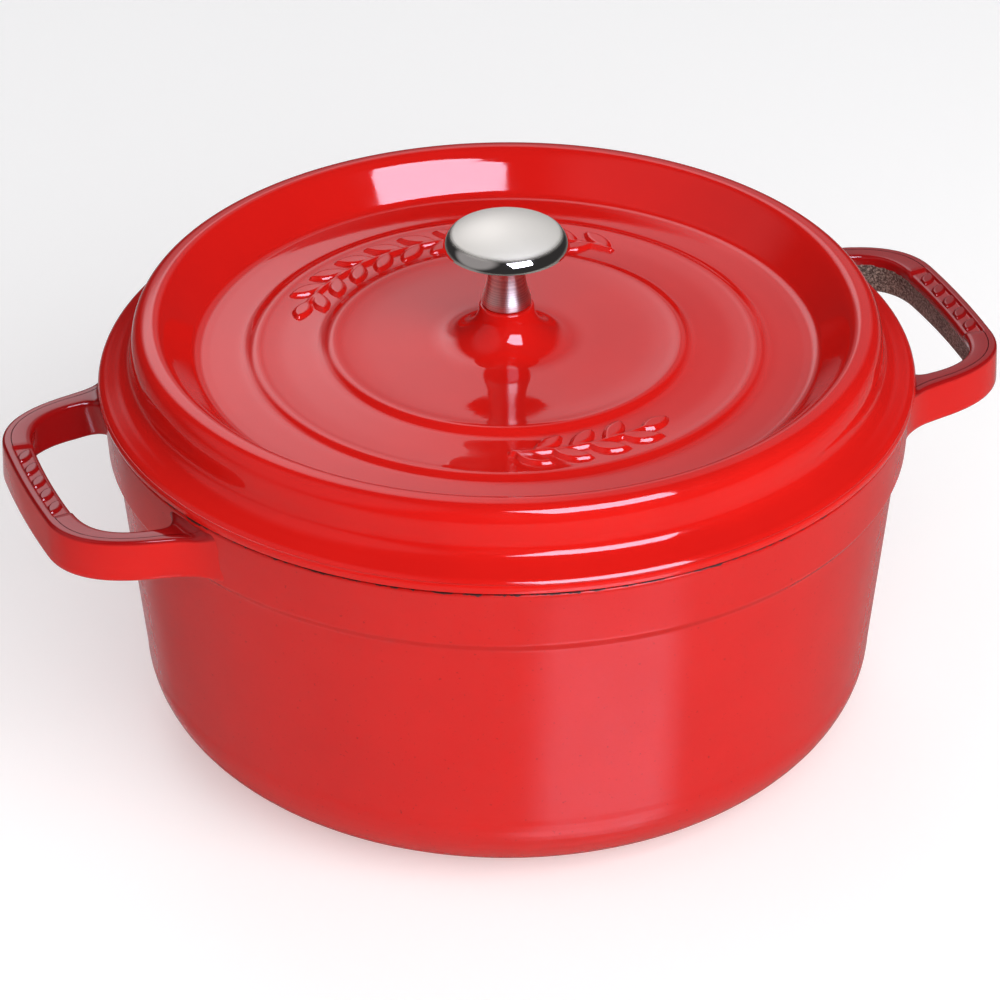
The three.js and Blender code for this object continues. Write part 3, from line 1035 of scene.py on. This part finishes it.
def handle_leaves(name, side):
    """Raised leaves in the sunk panel of a handle."""
    spacing = 0.3
    bow = OUTER_EDGE["apex"] - OUTER_EDGE["corner"]
    across_grid = np.arange(PANEL_LIP + 1.1, 8.6, spacing)
    along_grid = np.arange(-PANEL_HALF + 1.0, PANEL_HALF - 1.0, spacing)
    across, along = np.meshgrid(across_grid, along_grid, indexing="ij")
    middle = (across_grid[0] + across_grid[-1]) / 2
    distance = np.full(across.shape, 99.0)
    for index in range(PANEL_LEAVES):
        centre = (index - PANEL_LEAVES // 2) * PANEL_LEAF_PITCH
        tail = (middle + 2.5, centre - 3.2)
        tip = (middle - 2.5, centre + 3.2)
        leaf = leaf_distance(across, along, tip, tail, PANEL_LEAF_WIDTH)
        distance = np.minimum(distance, leaf)
    high = relief(distance, PANEL_LEAF_HEIGHT, 1.0) - 0.04
    x = OUTER_EDGE["apex"] - bow * (along / OUTER_EDGE["corner_half"]) ** 2 - across
    place = np.stack([side * x, side * along, np.full(x.shape, HANDLE_TOP - PANEL_DEPTH)], axis=-1)
    # The leaves take the darker red of the painted shade on the handles' tops.
    return raised_patch(name, place, high, "pot", SHADED_CRIMSON_ENAMEL)


# ---------------------------------------------------------------------------
# Knob, screw and washers
# ---------------------------------------------------------------------------

CAP_BOTTOM = 174.9
DOME_EDGE = 179.3
DOME_EDGE_RADIUS = CAP_RADIUS - 3.1
WASHER_INNER = 3.3
WASHER_OUTER = 7.0
BORE_RADIUS = 3.3  # of the knob's hole for the screw
BORE_TOP = 167
SHANK_RADIUS = 2.95
SHANK_TOP = 163.0
HEAD_RADIUS = 5.6
HEAD_HEIGHT = 3.4
RECESS_DEPTH = 1.6  # of the cross in the screw's head
RECESS_HALF = 2.1
RECESS_WIDTH = 1.0
FACE_RADIUS = 3.3  # the part of the head's face that the cross is cut in


def knob():
    """Mushroom knob with a flared neck, a wide cap and a low dome."""
    neck = smooth(
        [
            (8.1, KNOB_BOTTOM + 0.45),
            (8.0, KNOB_BOTTOM + 2.3),
            (7.5, KNOB_BOTTOM + 4.1),
            (6.85, KNOB_BOTTOM + 6.4),
            (6.3, KNOB_BOTTOM + 9.3),
            (5.95, KNOB_BOTTOM + 12.6),
            (6.2, 169.8),
            (8.0, 172.5),
            (12.5, 174.1),
            (17.0, 174.6),
        ],
        8,
    )
    edge = smooth(
        [
            (CAP_RADIUS, CAP_BOTTOM),
            (CAP_RADIUS - 0.2, 175.75),
            (CAP_RADIUS - 0.5, 176.55),
            (CAP_RADIUS - 0.9, 177.3),
            (CAP_RADIUS - 1.4, 178.0),
            (CAP_RADIUS - 2.1, 178.7),
            (DOME_EDGE_RADIUS, DOME_EDGE),
        ],
        8,
    )
    rise = KNOB_TOP - DOME_EDGE
    radius = (DOME_EDGE_RADIUS**2 + rise**2) / (2 * rise)
    widest = math.asin(DOME_EDGE_RADIUS / radius)
    dome = []
    for step in range(1, 25):
        angle = widest * (1 - step / 24)
        dome.append(Vector((radius * math.sin(angle), KNOB_TOP - radius + radius * math.cos(angle))))
    bore = [
        Vector((0, BORE_TOP)),
        Vector((BORE_RADIUS, BORE_TOP)),
        Vector((BORE_RADIUS, KNOB_BOTTOM)),
        Vector((7.7, KNOB_BOTTOM)),
    ]
    under_edge = Vector((CAP_RADIUS - 0.8, CAP_BOTTOM - 0.1))
    profile = steadied([*bore, *neck, under_edge, *edge, *dome], margin=0.05)
    profile[-1] = Vector((0, KNOB_TOP))
    material = nickel(CAP_BOTTOM, DOME_EDGE)
    piece = turned_piece("knob_nickel", profile, KNOB_SIDES, "knob", material, ["knob"])
    crease(piece, 14)
    return piece


def ring_piece(name, inner, outer, low, high, replaces):
    """A flat zinc plated washer between two heights."""
    chamfer = 0.2
    profile = rounded(
        [
            (inner, (low + high) / 2),
            (inner, low, chamfer),
            (outer, low, chamfer),
            (outer, high, chamfer),
            (inner, high, chamfer),
            (inner, (low + high) / 2),
        ],
        3,
    )[:-1]
    return turned_piece(name, profile, SMALL_SIDES, "lid", ZINC, replaces, closed=True)


def screw():
    """Cross recessed pan head screw, with its head under the lid."""
    low = foot("knob_screw")
    high = low + HEAD_HEIGHT
    face_steps = 22
    face = []
    for step in range(face_steps):
        share = step / face_steps
        face.append((FACE_RADIUS * share, low + 0.25 * share**2))
    side = rounded(
        [
            (FACE_RADIUS, low + 0.25),
            (HEAD_RADIUS - 0.5, low + 1.2, 1.0),
            (HEAD_RADIUS, high - 0.9, 0.7),
            (HEAD_RADIUS, high, 0.2),
            (SHANK_RADIUS, high, 0.15),
            (SHANK_RADIUS, SHANK_TOP, 0.3),
            (2.0, SHANK_TOP + 1),
            (0, SHANK_TOP + 1),
        ],
        4,
    )
    vertices, faces = turned([*face, *side], SMALL_SIDES)
    cut = []
    for x, y, z in vertices:
        in_face = z < high - 1 and math.hypot(x, y) < FACE_RADIUS
        if in_face:
            one_arm = bar_distance(x, y, (-RECESS_HALF, 0), (RECESS_HALF, 0), RECESS_WIDTH)
            other_arm = bar_distance(x, y, (0, -RECESS_HALF), (0, RECESS_HALF), RECESS_WIDTH)
            z += relief(min(one_arm, other_arm), RECESS_DEPTH, 0.5)
        cut.append((x, y, z))
    piece = add_piece("screw_zinc", cut, faces, "lid", ZINC, ["knob_screw"])
    crease(piece, 40)
    return piece


# ---------------------------------------------------------------------------
# Assembly
# ---------------------------------------------------------------------------

pot_casting()
pot_coat()
handle("handle_right_loop", 1, "handle_right", RIGHT_BARE_FROM)
handle("handle_left_loop", -1, "handle_left", LEFT_BARE_FROM)
handle_leaves("handle_right_leaves", 1)
handle_leaves("handle_left_leaves", -1)
lid_casting()
lid_coat()
lid_spikes()
lid_garland("lid_garland_back", 90, 57)
lid_garland("lid_garland_front", -90, 26)
knob()
screw()
flat_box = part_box("knob_flat_washer")
flat_low = flat_box[0].z / MM
flat_high = flat_box[1].z / MM
ring_piece("flat_washer_zinc", WASHER_INNER, WASHER_OUTER, flat_low, flat_high, ["knob_flat_washer"])
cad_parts["knob_spring_washer"].data.materials.clear()
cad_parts["knob_spring_washer"].data.materials.append(ZINC)


# ---------------------------------------------------------------------------
# Studio
# ---------------------------------------------------------------------------

CAMERA_AZIMUTH = -20.8  # turned from straight in front, towards the left handle
CAMERA_ELEVATION = 31.84
CAMERA_DISTANCE = 1.73035
CAMERA_ROLL = -0.25
CAMERA_LENS = 185.64
AIM = Vector((-0.00227, 0.00086, 0.07709))
FLOOR_HALF = 6.0
FLOOR_GAP = 0.00005


def direction(azimuth, elevation):
    """A direction away from the object, with azimuth measured to the right of the camera's side."""
    turn = math.radians(azimuth + CAMERA_AZIMUTH)
    lift = math.radians(elevation)
    return Vector((math.sin(turn) * math.cos(lift), -math.cos(turn) * math.cos(lift), math.sin(lift)))


def soft_light(name, azimuth, elevation, distance, width, height, radiance, colour=(1, 1, 1)):
    """A rectangular light that faces the object and shines with a given radiance."""
    data = bpy.data.lights.new(name, "AREA")
    data.shape = "RECTANGLE"
    data.size = width
    data.size_y = height
    data.energy = radiance * math.pi * width * height
    data.color = colour
    light = bpy.data.objects.new(name, data)
    way = direction(azimuth, elevation)
    light.location = AIM + way * distance
    light.rotation_mode = "QUATERNION"
    light.rotation_quaternion = way.to_track_quat("Z", "Y")
    bpy.context.scene.collection.objects.link(light)
    return light


def surroundings():
    """A dim room with a pale backdrop behind the object that brightens to the upper left."""
    world = bpy.data.worlds.new("studio_world")
    world.use_nodes = True
    tree = world.node_tree
    place = tree.nodes.new("ShaderNodeTexCoord").outputs["Generated"]

    def facing(way):
        node = tree.nodes.new("ShaderNodeVectorMath")
        node.operation = "DOT_PRODUCT"
        tree.links.new(place, node.inputs[0])
        node.inputs[1].default_value = way
        return node.outputs["Value"]

    def ramp(value, low, high):
        node = tree.nodes.new("ShaderNodeMapRange")
        node.interpolation_type = "SMOOTHSTEP"
        tree.links.new(value, node.inputs["Value"])
        node.inputs["From Min"].default_value = low
        node.inputs["From Max"].default_value = high
        return node.outputs["Result"]

    def joined(operation, first, second, third=None):
        node = tree.nodes.new("ShaderNodeMath")
        node.operation = operation
        for socket, value in zip(node.inputs, (first, second, third)):
            if isinstance(value, (int, float)):
                socket.default_value = value
            elif value is not None:
                tree.links.new(value, socket)
        return node.outputs["Value"]

    behind = ramp(facing(direction(180, 34)), 0.84, 0.95)
    leftwards = ramp(facing(direction(-90, 0)), -0.11, 0.15)
    raised = ramp(facing((0, 0, 1)), 0.33, 0.48)
    upper_left = joined("MULTIPLY", leftwards, raised)
    backdrop = joined("MULTIPLY", behind, joined("MULTIPLY_ADD", upper_left, 1.5, 0.44))
    left_wall = joined("MULTIPLY", ramp(facing(direction(-70, 36)), 0.72, 0.90), 0.30)
    strength = joined("ADD", joined("ADD", backdrop, left_wall), 0.035)
    background = tree.nodes["Background"]
    background.inputs["Color"].default_value = (1.0, 0.97, 1.03, 1)
    tree.links.new(strength, background.inputs["Strength"])
    bpy.context.scene.world = world


def studio():
    """A softbox that makes the reflections, and two wide screens that give the even light."""
    key = soft_light(
        "key_softbox",
        azimuth=32,
        elevation=48.5,
        distance=1.5,
        width=0.88,
        height=0.80,
        radiance=13.5,
        colour=(0.88, 0.89, 1.14),
    )
    key.visible_diffuse = False
    front = soft_light(
        "front_screen", azimuth=28, elevation=34, distance=2.0, width=2.6, height=1.5, radiance=4.1
    )
    front.visible_glossy = False
    top = soft_light(
        "top_screen", azimuth=0, elevation=88, distance=1.8, width=2.4, height=2.4, radiance=0.5
    )
    top.visible_glossy = False
    surroundings()
    bpy.context.scene.view_settings.view_transform = "Standard"


def floor():
    """A wide square just under the pot's foot."""
    half = FLOOR_HALF
    corners = [(-half, -half, 0), (half, -half, 0), (half, half, 0), (-half, half, 0)]
    mesh = bpy.data.meshes.new("floor")
    mesh.from_pydata(corners, [], [(0, 1, 2, 3)])
    mesh.materials.append(floor_paint())
    ground = bpy.data.objects.new("floor", mesh)
    ground.location.z = -FLOOR_GAP
    bpy.context.scene.collection.objects.link(ground)


def camera():
    data = bpy.data.cameras.new("camera")
    data.sensor_width = 36
    data.lens = CAMERA_LENS
    data.clip_start = 0.05
    data.clip_end = 50
    camera_object = bpy.data.objects.new("camera", data)
    way = direction(0, CAMERA_ELEVATION)
    camera_object.location = AIM + way * CAMERA_DISTANCE
    camera_object.rotation_mode = "QUATERNION"
    roll = Matrix.Rotation(math.radians(CAMERA_ROLL), 4, "Z").to_quaternion()
    camera_object.rotation_quaternion = way.to_track_quat("Z", "Y") @ roll
    bpy.context.scene.collection.objects.link(camera_object)
    bpy.context.scene.camera = camera_object


studio()
floor()
camera()
